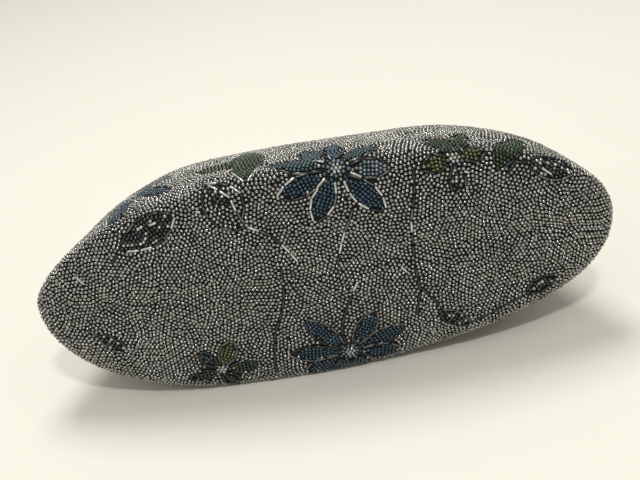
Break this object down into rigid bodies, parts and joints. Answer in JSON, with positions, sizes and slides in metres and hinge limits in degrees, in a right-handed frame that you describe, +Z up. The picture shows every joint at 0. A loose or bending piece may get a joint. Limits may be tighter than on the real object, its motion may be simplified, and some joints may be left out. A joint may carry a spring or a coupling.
{
  "type": "kiss lock frame purse",
  "caption": "Beaded evening purse with a boat-shaped base and a hinged channel frame that closes with a kiss lock of two crossing balls.",
  "frame": {"origin": "on the flat resting side of the back panel, under the middle of the bag, 60 mm from the base's edge", "axes": "+X to the right along the bag's width, +Y from the base towards the frame, +Z up, away from the resting side"},
  "size_m": [0.2417, 0.177, 0.0955],
  "materials": {
    "beaded_cloth": "gunmetal glass seed beads sewn over dark cloth, glossy, with blue, green and black bead flowers and leaves",
    "interlining": "matt white felted cotton",
    "satin_lining": "soft grey satin",
    "gilt_frame": "polished gilt brass, lightly worn",
    "hinge_metal": "worn gilt brass",
    "packing_cord": "twisted paper cord"
  },
  "bodies": {
    "bag": {"back_frame": "gilt_frame", "back_clasp_stem": "gilt_frame", "back_clasp_ball": "gilt_frame", "back_packing_cord": "packing_cord", "hinge_rivet_left": "hinge_metal", "hinge_rivet_right": "hinge_metal", "hinge_washer_left": "hinge_metal", "hinge_washer_right": "hinge_metal", "back_panel": "beaded_cloth", "back_interlining": "interlining", "back_lining": "satin_lining", "lining_pocket": "satin_lining", "front_panel_lower": "beaded_cloth", "front_interlining_lower": "interlining", "front_lining_lower": "satin_lining", "front_panel_fold": "beaded_cloth", "front_interlining_fold": "interlining", "front_lining_fold": "satin_lining"},
    "front_half": {"front_frame": "gilt_frame", "front_clasp_stem": "gilt_frame", "front_clasp_ball": "gilt_frame", "front_packing_cord": "packing_cord", "front_panel_upper": "beaded_cloth", "front_interlining_upper": "interlining", "front_lining_upper": "satin_lining"}
  },
  "joints": [
    {"name": "frame_hinge", "type": "hinge", "parent": "bag", "child": "front_half", "pos_m": [0, 0.038, 0.02601], "axis": [1, 0, 0], "range_deg": [0, 70], "deforming": ["front_panel_fold", "front_interlining_fold", "front_lining_fold"]}
  ]
}
